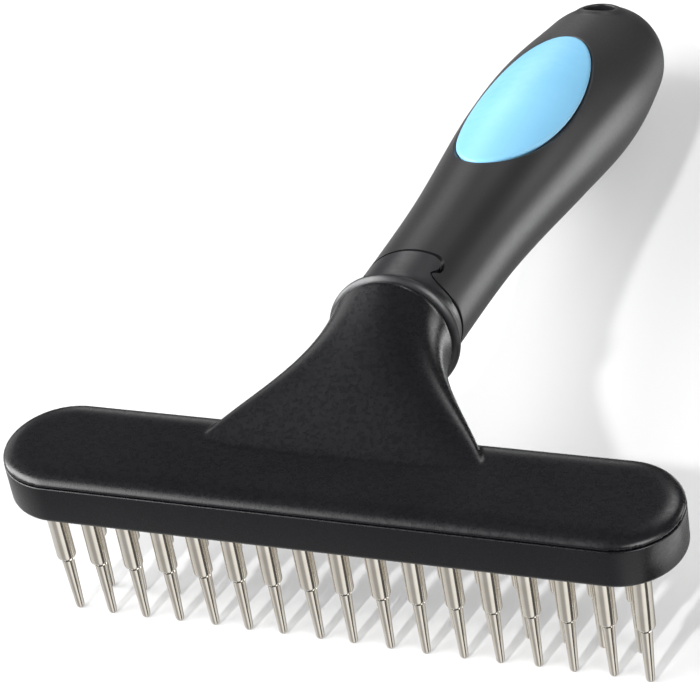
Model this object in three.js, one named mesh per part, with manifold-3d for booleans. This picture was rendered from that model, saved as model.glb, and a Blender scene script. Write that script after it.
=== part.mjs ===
// Double-row undercoat rake (deshedding tool) for dogs.
// A flat bar carries two staggered rows of stepped steel pins that turn in their holes. A flared neck
// joins the bar to a soft-grip handle with a keyed collar, an oval inlay and a hanging hole.
//
// Millimetres. +Z up, X along the bar, +Y from the bar towards the end of the handle. The tool stands
// on its pin tips at z = 0, and the origin is under the middle of its bounding box.

import * as THREE from "three";
import { mergeVertices } from "three/addons/utils/BufferGeometryUtils.js";
import Module from "manifold-3d";

const wasm = await Module();
wasm.setup();

// ---- driving dimensions -------------------------------------------------------------------------

const GAP = 0.3; // between pieces that touch or nest

// pins
const PIN_PITCH = 7;
const FRONT_PINS = 17;
const BACK_PINS = 16;
const ROW_SPACING = 6.8;
const SLEEVE_RADIUS = 1.83; // the thick upper length of a pin
const SLEEVE_END_Z = 13; // where the thick length steps down
const NEEDLE_RADIUS = 1.2; // the thin length, just under the step
const TIP_RADIUS = 0.8; // the rounded point
const PIN_HEAD_RADIUS = 2.7; // the flange that keeps a pin from falling out
const PIN_HEAD_THICKNESS = 1.2;
const PIN_HOLE_RADIUS = 2.1;

// bar
const BAR_LENGTH = 127.8;
const BAR_WIDTH = 23.5;
const BAR_BOTTOM_Z = 28.4;
const SEAM_Z = 36.8; // the pin plate meets the top shell here
const BAR_TOP_Z = 38.7;
const BAR_TOP_ROUND = 4.4;
const BAR_TOP_ROUND_HEIGHT = 1.6;
const BAR_BOTTOM_ROUND = 1;
const WALL = 2.2;
const PLATE_FLOOR = 3;
const RETAINER_THICKNESS = 1.8;
const LIP_DEPTH = 1.6; // how far the top shell's rim reaches into the pin plate

// handle, measured along its centreline from the face where the neck meets the collar
const HANDLE_START = new THREE.Vector2(34.8, 40.9); // (y, z), y from the middle of the pin rows
const COLLAR_LENGTH = 7.7;
const COLLAR_BEVEL = 2.4;
const LIP_RADIUS = 13; // the collar's lip, which stands out from the neck
const LIP_FLATTEN = 0.97; // its height over its width
const TONGUE_END = 16.2;
const TONGUE_WAIST = 5;
const TONGUE_HEAD = 5.8;
const TONGUE_WIDER = 3; // how much further out the tongue reaches on its -x side
const GRIP_THICKNESS = 2.6;
const SOCKET_RADIUS = 7.2;
const SOCKET_DEPTH = 34;
const HOLLOW_DEPTH = 128;
const CORE_WALL = 2.2;
const HANG_HOLE_AT = 149;
const HANG_HOLE_RADIUS = 3.5;

// oval inlay on top of the grip
const OVAL_MIDDLE = 88.2;
const OVAL_HALF_LENGTH = 33.2;
const OVAL_HALF_WIDTH = 11;
const OVAL_THICKNESS = 1.5;
const OVAL_STAND = 0.25;

// neck, between the bar's top and the collar
const NECK_START_Y = 1.2;
const NECK_BASE_HALF_WIDTH = 28;
const NECK_FLARE = 0.85; // 1 spreads the flare evenly; less keeps it near the bar
const NECK_END_RADIUS = 12;

// smoothness of the curved pieces
const PIN_SIDES = 10;
const HOLE_SIDES = 12;
const GRIP_SIDES = 28;
const CORE_SIDES = 20;
const NECK_SIDES = 36;

// ---- materials ----------------------------------------------------------------------------------

function material(color, roughness, metalness) {
  return new THREE.MeshStandardMaterial({ color, roughness, metalness });
}

const blackAbs = material(0x17171a, 0.5, 0);
const greyAbs = material(0x2c2c30, 0.5, 0);
const naturalNylon = material(0xd8d4c8, 0.6, 0);
const softRubber = material(0x26262a, 0.7, 0);
const blueInlay = material(0x7fd6f7, 0.35, 0);
const nickelSteel = material(0xc8beb0, 0.3, 1);

// ---- closed solids, joined and cut ----------------------------------------------------------------

// A closed geometry as a manifold solid.
function solid(geometry) {
  const bare = geometry.clone();
  bare.deleteAttribute("normal");
  bare.deleteAttribute("uv");
  const merged = mergeVertices(bare, 1e-4);
  return new wasm.Manifold(
    new wasm.Mesh({
      numProp: 3,
      vertProperties: new Float32Array(merged.attributes.position.array),
      triVerts: new Uint32Array(merged.index.array),
    }),
  );
}

// A manifold solid as a named mesh.
function piece(name, body, finish) {
  const made = body.getMesh();
  const geometry = new THREE.BufferGeometry();
  geometry.setAttribute("position", new THREE.BufferAttribute(made.vertProperties, 3));
  geometry.setIndex(new THREE.BufferAttribute(made.triVerts, 1));
  geometry.computeVertexNormals();
  const mesh = new THREE.Mesh(geometry, finish);
  mesh.name = name;
  return mesh;
}

function box(lengthX, lengthY, lowZ, highZ) {
  const geometry = new THREE.BoxGeometry(lengthX, lengthY, highZ - lowZ);
  return solid(geometry.translate(0, 0, (lowZ + highZ) / 2));
}

function uprightCylinder(radius, lowZ, highZ, x, y, sides) {
  const geometry = new THREE.CylinderGeometry(radius, radius, highZ - lowZ, sides);
  geometry.rotateX(Math.PI / 2);
  return solid(geometry.translate(x, y, (lowZ + highZ) / 2));
}

// A bar with full-round ends, inset all round from the outside of the tool's bar.
function roundedBar(inset, lowZ, highZ, edgeRound = 0, edgeHeight = edgeRound) {
  const radius = BAR_WIDTH / 2 - inset - edgeRound;
  const reach = BAR_LENGTH / 2 - BAR_WIDTH / 2;
  const outline = new THREE.Shape();
  outline.absarc(reach, 0, radius, -Math.PI / 2, Math.PI / 2, false);
  outline.absarc(-reach, 0, radius, Math.PI / 2, (3 * Math.PI) / 2, false);
  const geometry = new THREE.ExtrudeGeometry(outline, {
    depth: highZ - lowZ - 2 * edgeHeight,
    bevelEnabled: edgeRound > 0,
    bevelThickness: edgeHeight,
    bevelSize: edgeRound,
    bevelSegments: 4,
    curveSegments: 14,
  });
  return solid(geometry.translate(0, 0, lowZ + edgeHeight));
}

// ---- the handle's curve and sections --------------------------------------------------------------

// Centreline in the plane x = 0, as (y, z): it leaves the collar level and dips towards its end.
const centreline = new THREE.SplineCurve([
  HANDLE_START,
  new THREE.Vector2(78.4, 34),
  new THREE.Vector2(122.1, 26.2),
  new THREE.Vector2(165.7, 16.4),
  new THREE.Vector2(196.5, 11.4),
]);
const HANDLE_LENGTH = centreline.getLength();

// Half-width of the handle, as (distance, half-width) on the same curve.
const halfWidths = new THREE.SplineCurve([
  new THREE.Vector2(0, 11.4),
  new THREE.Vector2(44, 12.2),
  new THREE.Vector2(88, 15.5),
  new THREE.Vector2(118, 16.6),
  new THREE.Vector2(145, 14.8),
  new THREE.Vector2(HANDLE_LENGTH, 12.2),
]);
const HEIGHT_TO_WIDTH = 0.91;
const END_ROUNDING = 19.5; // length of the handle's domed end

// Point and normal of the centreline at a distance along it; both ends go on straight.
function centreAt(distance) {
  const inside = THREE.MathUtils.clamp(distance, 0, HANDLE_LENGTH);
  const point = centreline.getPointAt(inside / HANDLE_LENGTH);
  const tangent = centreline.getTangentAt(inside / HANDLE_LENGTH);
  point.addScaledVector(tangent, distance - inside);
  return { point, tangent, normal: new THREE.Vector2(-tangent.y, tangent.x) };
}

// Half-width of the grip's outside before its end is domed.
function halfWidthAt(distance) {
  const steps = 200;
  const points = halfWidths.getPoints(steps);
  const after = points.findIndex((p) => p.x >= distance);
  if (after <= 0) return after === 0 ? points[0].y : points[steps].y;
  const before = points[after - 1];
  const share = (distance - before.x) / (points[after].x - before.x);
  return THREE.MathUtils.lerp(before.y, points[after].y, share);
}

function domeFactor(distance, end) {
  const into = Math.max(0, (distance - (end - END_ROUNDING)) / END_ROUNDING);
  return Math.sqrt(Math.max(0, 1 - into * into));
}

// Distances for the rings of a loft, closer together in the domed end.
function ringDistances(start, end, count) {
  const distances = [];
  for (let i = 0; i < count; i++) distances.push(start + ((end - END_ROUNDING - start) * i) / count);
  const domeRings = 8;
  for (let i = 0; i < domeRings; i++) {
    distances.push(end - END_ROUNDING + END_ROUNDING * Math.sin((Math.PI / 2) * (i / domeRings)));
  }
  return distances;
}

// A closed body of the given rings, [distance, half-width], bent along the centreline. flattenAt gives
// a ring's height over its width; the body ends in a point on the axis at each end.
function loft(rings, sides, flattenAt = () => HEIGHT_TO_WIDTH) {
  const first = rings[0][0];
  const last = rings[rings.length - 1][0];
  const profile = [new THREE.Vector2(0, first)];
  for (const [distance, radius] of rings) {
    if (radius > 0) profile.push(new THREE.Vector2(radius, distance));
  }
  profile.push(new THREE.Vector2(0, last));
  const geometry = new THREE.LatheGeometry(profile, sides);
  const position = geometry.attributes.position;
  for (let i = 0; i < position.count; i++) {
    const across = position.getX(i);
    const up = position.getZ(i) * flattenAt(position.getY(i));
    const { point, normal } = centreAt(position.getY(i));
    position.setXYZ(i, across, point.x + normal.x * up, point.y + normal.y * up);
  }
  return outward(geometry);
}

// The solid of a closed geometry, turned so that its faces point out.
function outward(geometry) {
  const made = solid(geometry);
  if (made.volume() > 0) return made;
  const index = geometry.index.array;
  for (let i = 0; i < index.length; i += 3) [index[i + 1], index[i + 2]] = [index[i + 2], index[i + 1]];
  return solid(geometry);
}

// The outside of the handle, or a skin's inside when `inset` is more than 0.
function handleBody(start, end, inset, rings, sides) {
  const domed = ringDistances(start, end, rings).map((distance) => [
    distance,
    (halfWidthAt(distance) - inset) * domeFactor(distance, end),
  ]);
  return loft([...domed, [end, 0]], sides);
}

// A prism of an outline drawn in (x, distance from `distance`), standing up across the handle's top.
function prismOnTop(outline, distance, height) {
  const geometry = new THREE.ExtrudeGeometry(outline, { depth: height, bevelEnabled: false });
  const { point, tangent, normal } = centreAt(distance);
  const place = new THREE.Matrix4().makeBasis(
    new THREE.Vector3(1, 0, 0),
    new THREE.Vector3(0, tangent.x, tangent.y),
    new THREE.Vector3(0, normal.x, normal.y),
  );
  place.setPosition(0, point.x, point.y);
  return solid(geometry.applyMatrix4(place));
}

// ---- outlines on the handle's top -------------------------------------------------------------------

// The collar's tongue: a tab with a narrow waist and rounded corners, keyed into the grip.
function tongueOutline(grow) {
  const waist = TONGUE_WAIST + grow;
  const head = TONGUE_HEAD + grow;
  const end = TONGUE_END + grow;
  const root = COLLAR_LENGTH + grow;
  const farWaist = waist + TONGUE_WIDER;
  const farHead = head + TONGUE_WIDER;
  const farRoot = 9 + TONGUE_WIDER / 2 + grow;
  const outline = new THREE.Shape();
  outline.moveTo(-farRoot, root - 3);
  outline.lineTo(9 + grow, root - 3);
  outline.lineTo(9 + grow, root);
  outline.quadraticCurveTo(waist + 1, root + 0.3, waist, root + 2.6);
  outline.bezierCurveTo(waist, root + 4, head, root + 4, head, root + 5.6);
  outline.quadraticCurveTo(head, end, head - 2.6, end);
  outline.lineTo(-(farHead - 2.6), end);
  outline.quadraticCurveTo(-farHead, end, -farHead, root + 5.6);
  outline.bezierCurveTo(-farHead, root + 4, -farWaist, root + 4, -farWaist, root + 2.6);
  outline.quadraticCurveTo(-farWaist - 1, root + 0.3, -farRoot, root);
  return outline;
}

function ovalOutline(grow) {
  const outline = new THREE.Shape();
  outline.absellipse(0, 0, OVAL_HALF_WIDTH + grow, OVAL_HALF_LENGTH + grow, 0, 2 * Math.PI, false);
  return outline;
}

// ---- pieces -----------------------------------------------------------------------------------------

const pinPlaces = [];
for (let i = 0; i < FRONT_PINS; i++) {
  const number = String(i + 1).padStart(2, "0");
  pinPlaces.push({
    name: `pin_front_${number}`,
    x: (i - (FRONT_PINS - 1) / 2) * PIN_PITCH,
    y: -ROW_SPACING / 2,
  });
}
for (let i = 0; i < BACK_PINS; i++) {
  const number = String(i + 1).padStart(2, "0");
  pinPlaces.push({
    name: `pin_back_${number}`,
    x: (i - (BACK_PINS - 1) / 2) * PIN_PITCH,
    y: ROW_SPACING / 2,
  });
}

const PLATE_FLOOR_TOP = BAR_BOTTOM_Z + PLATE_FLOOR;
const PIN_HEAD_BOTTOM = PLATE_FLOOR_TOP + 0.1;
const PIN_TOP = PIN_HEAD_BOTTOM + PIN_HEAD_THICKNESS;
const RETAINER_BOTTOM = PIN_TOP + GAP;
const RETAINER_TOP = RETAINER_BOTTOM + RETAINER_THICKNESS;

// One turned pin: rounded tip, tapered thin length, step, thick length and flanged head.
function pin({ name, x, y }) {
  const profile = [
    [0, 0],
    [TIP_RADIUS * 0.7, 0.2],
    [TIP_RADIUS, 0.9],
    [NEEDLE_RADIUS, SLEEVE_END_Z],
    [SLEEVE_RADIUS - 0.4, SLEEVE_END_Z],
    [SLEEVE_RADIUS, SLEEVE_END_Z + 0.6],
    [SLEEVE_RADIUS, PIN_HEAD_BOTTOM],
    [PIN_HEAD_RADIUS, PIN_HEAD_BOTTOM],
    [PIN_HEAD_RADIUS, PIN_TOP],
    [0, PIN_TOP],
  ];
  const points = profile.map(([radius, height]) => new THREE.Vector2(radius, height));
  const geometry = new THREE.LatheGeometry(points, PIN_SIDES);
  geometry.rotateX(Math.PI / 2);
  const mesh = piece(name, outward(geometry), nickelSteel);
  mesh.position.set(x, y, 0);
  return mesh;
}

// The tray that the pins hang in: a floor with a hole for each pin, and a wall all round.
function pinPlate() {
  let body = roundedBar(0, BAR_BOTTOM_Z, SEAM_Z + 3, BAR_BOTTOM_ROUND);
  body = body.subtract(box(200, 100, SEAM_Z - GAP / 2, SEAM_Z + 10));
  body = body.subtract(roundedBar(WALL, PLATE_FLOOR_TOP, SEAM_Z + 10));
  for (const { x, y } of pinPlaces) {
    const hole = uprightCylinder(PIN_HOLE_RADIUS, BAR_BOTTOM_Z - 1, SEAM_Z, x, y, HOLE_SIDES);
    body = body.subtract(hole);
  }
  return piece("pin_plate", body, blackAbs);
}

// The flat strip over the pins' heads.
function pinRetainer() {
  const body = roundedBar(WALL + GAP, RETAINER_BOTTOM, RETAINER_TOP);
  return piece("pin_retainer_strip", body, naturalNylon);
}

// The flared neck: a closed body whose sections run from a wide flat one inside the bar to a circle
// at the collar.
function neckBody() {
  const steps = 14;
  const profile = [new THREE.Vector2(0, 0)];
  for (let i = 0; i <= steps; i++) profile.push(new THREE.Vector2(1, i / steps));
  profile.push(new THREE.Vector2(0, 1));
  const geometry = new THREE.LatheGeometry(profile, NECK_SIDES);
  const position = geometry.attributes.position;
  for (let i = 0; i < position.count; i++) {
    const along = position.getY(i);
    const radius = Math.hypot(position.getX(i), position.getZ(i));
    const angle = Math.atan2(position.getZ(i), position.getX(i));
    const section = neckSection(along);
    const power = 2 / section.squareness;
    const cos = Math.cos(angle);
    const sin = Math.sin(angle);
    const x = radius * section.halfWidth * Math.sign(cos) * Math.abs(cos) ** power;
    const up = radius * section.halfHeight * Math.sign(sin) * Math.abs(sin) ** power;
    position.setXYZ(i, x, section.y + up * section.lean, section.z + up);
  }
  return outward(geometry);
}

// The neck's section a share `along` of the way from the bar to the collar.
function neckSection(along) {
  const { point, normal } = centreAt(0);
  const flare = (1 + Math.cos(Math.PI * along ** NECK_FLARE)) / 2;
  const top = THREE.MathUtils.lerp(BAR_TOP_Z - 0.5, point.y + NECK_END_RADIUS * normal.y, along ** 1.1);
  const bottom = THREE.MathUtils.lerp(SEAM_Z, point.y - NECK_END_RADIUS * normal.y, along ** 1.6);
  return {
    y: THREE.MathUtils.lerp(NECK_START_Y, point.x, along),
    z: (top + bottom) / 2,
    halfWidth: NECK_END_RADIUS + (NECK_BASE_HALF_WIDTH - NECK_END_RADIUS) * flare,
    halfHeight: (top - bottom) / 2,
    squareness: 2 + 1.4 * (1 - along) ** 1.5,
    lean: (normal.x / normal.y) * along,
  };
}

// The bar's top cover, moulded in one with the neck and the spigot that enters the handle.
function headShell() {
  const lidBottom = SEAM_Z + GAP / 2;
  let body = roundedBar(0, BAR_TOP_Z - 10, BAR_TOP_Z, BAR_TOP_ROUND, BAR_TOP_ROUND_HEIGHT);
  body = body.subtract(box(200, 100, BAR_TOP_Z - 20, lidBottom));
  body = body.add(roundedBar(WALL + GAP, lidBottom - LIP_DEPTH, lidBottom + 0.5));
  body = body.subtract(roundedBar(WALL + GAP + 1.6, lidBottom - 5, lidBottom));
  const neck = neckBody().subtract(box(200, BAR_WIDTH + 2 * GAP, BAR_BOTTOM_Z - 5, lidBottom));
  const spigot = loft(
    [
      [-3, SOCKET_RADIUS - GAP],
      [SOCKET_DEPTH - 4, SOCKET_RADIUS - GAP],
      [SOCKET_DEPTH - 1.5, SOCKET_RADIUS - GAP - 1.2],
    ],
    CORE_SIDES,
    () => 1,
  );
  return piece("head_shell_with_neck", body.add(neck).add(spigot), blackAbs);
}

function hangHole(radius, sides) {
  const { point } = centreAt(HANG_HOLE_AT);
  return uprightCylinder(radius, point.y - 40, point.y + 40, 0, point.x, sides);
}

// The collar's half-width and half-height, from its round lip to the grip's own section.
function collarSize(distance) {
  const share = (COLLAR_LENGTH - distance) / (COLLAR_LENGTH - COLLAR_BEVEL);
  const rise = THREE.MathUtils.clamp(share, 0, 1) ** 2;
  const grip = halfWidthAt(distance) - 0.03;
  return {
    wide: THREE.MathUtils.lerp(grip, LIP_RADIUS, rise),
    high: THREE.MathUtils.lerp(grip * HEIGHT_TO_WIDTH, LIP_RADIUS * LIP_FLATTEN, rise),
  };
}

// The stiff core inside the grip, with the collar ring and its keyed tongue at the front.
function handleCore() {
  const inner = GRIP_THICKNESS;
  let body = handleBody(COLLAR_LENGTH - 2, HANDLE_LENGTH - inner, inner, 14, CORE_SIDES);
  const ring = loft(
    [
      [GAP, NECK_END_RADIUS - 0.6],
      [GAP + 0.01, NECK_END_RADIUS],
      [COLLAR_BEVEL, LIP_RADIUS],
      [COLLAR_BEVEL + 1.4, collarSize(COLLAR_BEVEL + 1.4).wide],
      [COLLAR_BEVEL + 3, collarSize(COLLAR_BEVEL + 3).wide],
      [COLLAR_LENGTH, collarSize(COLLAR_LENGTH).wide],
    ],
    GRIP_SIDES,
    (distance) => collarSize(distance).high / collarSize(distance).wide,
  );
  const tongue = prismOnTop(tongueOutline(0), 0, 30).intersect(
    handleBody(COLLAR_LENGTH - 3, HANDLE_LENGTH, 0, 20, GRIP_SIDES),
  );
  body = body.add(ring).add(tongue);
  const socket = loft(
    [
      [-2, SOCKET_RADIUS],
      [SOCKET_DEPTH, SOCKET_RADIUS],
    ],
    CORE_SIDES,
    () => 1,
  );
  const hollow = loft(
    [
      [SOCKET_DEPTH - 1, SOCKET_RADIUS],
      [SOCKET_DEPTH + 6, halfWidthAt(SOCKET_DEPTH + 6) - inner - CORE_WALL],
      [88, halfWidthAt(88) - inner - CORE_WALL],
      [HOLLOW_DEPTH, halfWidthAt(HOLLOW_DEPTH) - inner - CORE_WALL],
    ],
    CORE_SIDES,
  );
  body = body.subtract(socket).subtract(hollow).subtract(hangHole(HANG_HOLE_RADIUS + 1.5 + GAP, 16));
  return piece("handle_core_with_collar", body, greyAbs);
}

// The soft grip over the core: a skin with a notch for the tongue, a pocket for the inlay, and a lined
// hanging hole.
function softGrip() {
  let body = handleBody(COLLAR_LENGTH + GAP, HANDLE_LENGTH, 0, 20, GRIP_SIDES);
  const core = handleBody(
    COLLAR_LENGTH - 3,
    HANDLE_LENGTH - GRIP_THICKNESS + GAP,
    GRIP_THICKNESS - GAP,
    14,
    CORE_SIDES,
  );
  const lining = hangHole(HANG_HOLE_RADIUS + 1.5, 16).intersect(
    handleBody(COLLAR_LENGTH, HANDLE_LENGTH - 0.5, 0.5, 14, CORE_SIDES),
  );
  body = body.subtract(core).add(lining);
  body = body.subtract(prismOnTop(tongueOutline(GAP), 0, 30));
  const pocket = prismOnTop(ovalOutline(GAP), OVAL_MIDDLE, 30).subtract(
    handleBody(0, HANDLE_LENGTH, OVAL_THICKNESS, 20, GRIP_SIDES),
  );
  body = body.subtract(pocket).subtract(hangHole(HANG_HOLE_RADIUS, 16));
  return piece("soft_grip", body, softRubber);
}

// The oval inlay, which follows the grip's surface and stands a little proud of it.
function ovalInlay() {
  const shell = handleBody(0, HANDLE_LENGTH, -OVAL_STAND, 20, GRIP_SIDES).subtract(
    handleBody(0, HANDLE_LENGTH, OVAL_THICKNESS - GAP, 20, GRIP_SIDES),
  );
  const body = prismOnTop(ovalOutline(0), OVAL_MIDDLE, 30).intersect(shell);
  return piece("oval_inlay", body, blueInlay);
}

// ---- the whole tool ---------------------------------------------------------------------------------

const rake = new THREE.Group();
rake.name = "undercoat_rake";
const placed = new THREE.Group();
placed.add(pinPlate(), pinRetainer(), headShell(), handleCore(), softGrip(), ovalInlay());
for (const place of pinPlaces) placed.add(pin(place));

// The bounding box's middle goes to y = 0.
const bounds = new THREE.Box3().setFromObject(placed);
placed.position.y = -(bounds.min.y + bounds.max.y) / 2;
rake.add(placed);

export default rake;
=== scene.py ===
"""The looks of the undercoat rake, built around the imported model: fine meshes for every piece that shows,
procedural materials, a pale floor, studio light and the camera. Blender 4.5, metres, the part's frame.

Shapes are worked out in millimetres in the tool's own coordinates: x along the bar, y from the middle of
the pin rows towards the handle's end, z up from the pin tips. build() turns them into the part's frame.
"""

import math
import random

import bmesh
import bpy
import numpy as np
from mathutils import Matrix, Vector
from mathutils.geometry import delaunay_2d_cdt


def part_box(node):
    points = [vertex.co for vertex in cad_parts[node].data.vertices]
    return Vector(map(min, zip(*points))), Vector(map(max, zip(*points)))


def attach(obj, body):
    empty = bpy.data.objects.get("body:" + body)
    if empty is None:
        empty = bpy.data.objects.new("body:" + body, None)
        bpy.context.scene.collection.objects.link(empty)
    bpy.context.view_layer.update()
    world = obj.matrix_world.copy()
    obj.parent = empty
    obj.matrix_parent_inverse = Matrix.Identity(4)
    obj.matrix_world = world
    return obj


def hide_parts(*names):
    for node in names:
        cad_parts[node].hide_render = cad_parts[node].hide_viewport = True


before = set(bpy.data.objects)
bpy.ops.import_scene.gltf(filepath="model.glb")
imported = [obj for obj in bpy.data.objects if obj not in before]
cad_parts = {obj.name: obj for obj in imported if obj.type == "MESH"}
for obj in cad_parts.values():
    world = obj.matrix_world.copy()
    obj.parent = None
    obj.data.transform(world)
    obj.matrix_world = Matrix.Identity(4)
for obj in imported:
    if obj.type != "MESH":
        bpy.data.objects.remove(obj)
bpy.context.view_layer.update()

MM = 0.001
BAR_LOW, BAR_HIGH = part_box("pin_plate")
ORIGIN_Y = (BAR_LOW.y + BAR_HIGH.y) / 2 / MM  # where the middle of the pin rows is in the part's frame

# ---- dimensions, the same as the CAD part's ----

GAP = 0.3
SLEEVE_RADIUS = 1.83
SLEEVE_END_Z = 13.0
NEEDLE_RADIUS = 1.2
TIP_RADIUS = 0.8
PIN_HEAD_RADIUS = 2.7
PIN_HOLE_RADIUS = 2.1

BAR_LENGTH = 127.8
BAR_WIDTH = 23.5
BAR_BOTTOM_Z = 28.4
SEAM_Z = 36.8
BAR_TOP_Z = 38.7
WALL = 2.2
PLATE_FLOOR_TOP = 31.4
PIN_HEAD_BOTTOM = 31.5
PIN_TOP = 32.7

CENTRELINE = [(34.8, 40.9), (78.4, 34.0), (122.1, 26.2), (165.7, 16.4), (196.5, 11.4)]
FLATTEN = 0.91
END_ROUNDING = 19.5
COLLAR_LENGTH = 7.7
COLLAR_BEVEL = 2.4
NECK_END_RADIUS = 12.0
NECK_TIP = 1.0  # how far the neck reaches into the collar's mouth
LIP_RADIUS = 13.0
LIP_FLATTEN = 0.97
LIP_STEP = 0.84  # the collar behind its lip stands this share of the lip's height over the grip
TONGUE_END = 16.2
TONGUE_WAIST = 5.0
TONGUE_HEAD = 5.8
TONGUE_WIDER = 3.0  # how much further out it reaches on the -x side
GRIP_THICKNESS = 2.6
GRIP_GAP = 0.55  # between the tongue's side and the grip
GRIP_EDGE = 0.14  # rounding of the grip's edge along that gap
NOTCH_CORNER = 0.45  # how much the notch swells at the tongue's corners
COLLAR_EDGE = 0.16  # rounding of the tongue's edge
COLUMN_WALL = 1.5  # of the hanging hole, inside the grip
POCKET_DEPTH = 1.5
INLAY_CROWN = 0.25
INLAY_BASE = 1.1
INLAY_EDGE = 0.9
SOCKET_RADIUS = 7.2
SOCKET_DEPTH = 34.0
HANG_HOLE_AT = 149.0
HANG_HOLE_RADIUS = 3.5
OVAL_MIDDLE = 88.2
OVAL_HALF_LENGTH = 33.2
OVAL_HALF_WIDTH = 11.0
NECK_START_Y = 1.2
NECK_BASE_HALF_WIDTH = 28.0
NECK_SIDES = 160
NECK_ROUNDING = 0.8  # of the neck's end
SHELL_VOXEL = 0.36  # of the remesh that blends the shell and its neck
PIN_LEAN = 0.5  # degrees about x and about y, at most

# ---- meshes ----


def new_object(name, data):
    """An object of that name in the scene."""
    made = bpy.data.objects.new(name, data)
    bpy.context.scene.collection.objects.link(made)
    return made


def build(name, surface):
    """An object of that name from a surface in the tool's millimetres."""
    placed = (np.array(surface.points) + [0, ORIGIN_Y, 0]) * MM
    mesh = bpy.data.meshes.new(name)
    mesh.from_pydata(placed.tolist(), [], [tuple(map(int, f)) for f in surface.faces])
    mesh.update()
    return new_object(name, mesh)


class Surface:
    """Points and faces of one closed body, gathered ring by ring."""

    def __init__(self):
        self.points = []
        self.faces = []

    def add(self, points):
        """Adds points and returns their numbers."""
        start = len(self.points)
        self.points.extend(np.asarray(points, float).reshape(-1, 3).tolist())
        return list(range(start, len(self.points)))

    def bridge(self, *rings):
        """Joins rings of the same length, each to the next, with four-sided faces."""
        count = len(rings[0])
        for lower, upper in zip(rings, rings[1:]):
            for i in range(count):
                j = (i + 1) % count
                self.faces.append((lower[i], lower[j], upper[j], upper[i]))

    def flat_ends(self, rings):
        """Closes the first and the last ring with one flat face each."""
        self.faces.append(tuple(reversed(rings[0])))
        self.faces.append(tuple(rings[-1]))

    def fan(self, ring, point, turned=False):
        """Joins a ring to one new point."""
        tip = self.add(point)[0]
        for i in range(len(ring)):
            a, b = ring[i], ring[(i + 1) % len(ring)]
            self.faces.append((b, a, tip) if turned else (a, b, tip))


def boolean(piece, cutter, operation="DIFFERENCE"):
    """Applies a boolean to piece and deletes the cutter."""
    modifier = piece.modifiers.new("cut", "BOOLEAN")
    modifier.operation = operation
    modifier.solver = "MANIFOLD"
    modifier.object = cutter
    apply_modifiers(piece)
    bpy.data.objects.remove(cutter)


def apply_modifiers(piece):
    graph = bpy.context.evaluated_depsgraph_get()
    made = bpy.data.meshes.new_from_object(piece.evaluated_get(graph))
    piece.modifiers.clear()
    old = piece.data
    piece.data = made
    bpy.data.meshes.remove(old)


def facing_out(piece):
    """Turns the faces outwards, and hands the piece back."""
    work = bmesh.new()
    work.from_mesh(piece.data)
    bmesh.ops.recalc_face_normals(work, faces=work.faces)
    if work.calc_volume(signed=True) < 0:
        bmesh.ops.reverse_faces(work, faces=work.faces)
    work.to_mesh(piece.data)
    work.free()
    return piece


def smooth_shading(piece, degrees=40):
    """Smooth shading, with a crease where faces meet at more than that angle."""
    piece.data.shade_smooth()
    piece.data.set_sharp_from_angle(angle=math.radians(degrees))


def whole_turn(count):
    """That many angles, evenly round a circle."""
    return np.linspace(0, 2 * math.pi, count, endpoint=False)


def circle(radius, z, count, x=0, y=0):
    """The points of a level circle."""
    turn = whole_turn(count)
    return np.stack([x + radius * np.cos(turn), y + radius * np.sin(turn), 0 * turn + z], 1)


# ---- the handle's curve and sections ----


def catmull_rom(points, count=2000):
    """Points along the uniform Catmull-Rom curve through the given ones."""
    p = np.array(points, float)
    last = len(p) - 1
    t = np.linspace(0, last, count + 1)
    at = np.minimum(t.astype(int), last - 1)
    w = (t - at)[:, None]
    p0, p1 = p[np.maximum(at - 1, 0)], p[at]
    p2, p3 = p[at + 1], p[np.minimum(at + 2, last)]
    v1, v2 = (p2 - p0) / 2, (p3 - p1) / 2
    cubic = (2 * p1 - 2 * p2 + v1 + v2) * w**3
    return cubic + (-3 * p1 + 3 * p2 - 2 * v1 - v2) * w**2 + v1 * w + p1


CURVE = catmull_rom(CENTRELINE)
STEPS = np.linalg.norm(np.diff(CURVE, axis=0), axis=1)
ALONG = np.concatenate([[0], np.cumsum(STEPS)])
HANDLE_LENGTH = ALONG[-1]
SLOPE = np.gradient(CURVE, ALONG, axis=0)
WIDTHS = catmull_rom(
    [(0, 11.4), (44, 12.2), (88, 15.5), (118, 16.6), (145, 14.8), (HANDLE_LENGTH, 12.2)]
)


def centre(s):
    """The centreline's y and z at distance s, and its direction there. Both ends go on straight."""
    s = np.asarray(s, float)
    inside = np.clip(s, 0, HANDLE_LENGTH)
    ty = np.interp(inside, ALONG, SLOPE[:, 0])
    tz = np.interp(inside, ALONG, SLOPE[:, 1])
    length = np.hypot(ty, tz)
    ty, tz = ty / length, tz / length
    y = np.interp(inside, ALONG, CURVE[:, 0]) + ty * (s - inside)
    z = np.interp(inside, ALONG, CURVE[:, 1]) + tz * (s - inside)
    return y, z, ty, tz


def axis_point(s):
    """The point of the centreline at distance s."""
    y, z, _, _ = centre(s)
    return [0, y, z]


def half_width(s):
    return np.interp(s, WIDTHS[:, 0], WIDTHS[:, 1])


def dome(s, end):
    into = np.clip((s - (end - END_ROUNDING)) / END_ROUNDING, 0, 1)
    return np.sqrt(1 - into**2)


def handle_axes(s, inset, end):
    """The handle's section at s: half-width and half-height."""
    wide = (half_width(s) - inset) * dome(s, end)
    return wide, wide * FLATTEN


def collar_axes(s, inset):
    """The collar's section: round at its lip, and the handle's own where the grip begins."""
    wide, high = half_width(s), half_width(s) * FLATTEN
    q = LIP_STEP * np.clip((COLLAR_LENGTH - s) / (COLLAR_LENGTH - COLLAR_BEVEL), 0, 1) ** 2
    wide = wide + (LIP_RADIUS - wide) * q
    high = high + (LIP_RADIUS * LIP_FLATTEN - high) * q
    return wide - inset, high - inset


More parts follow.
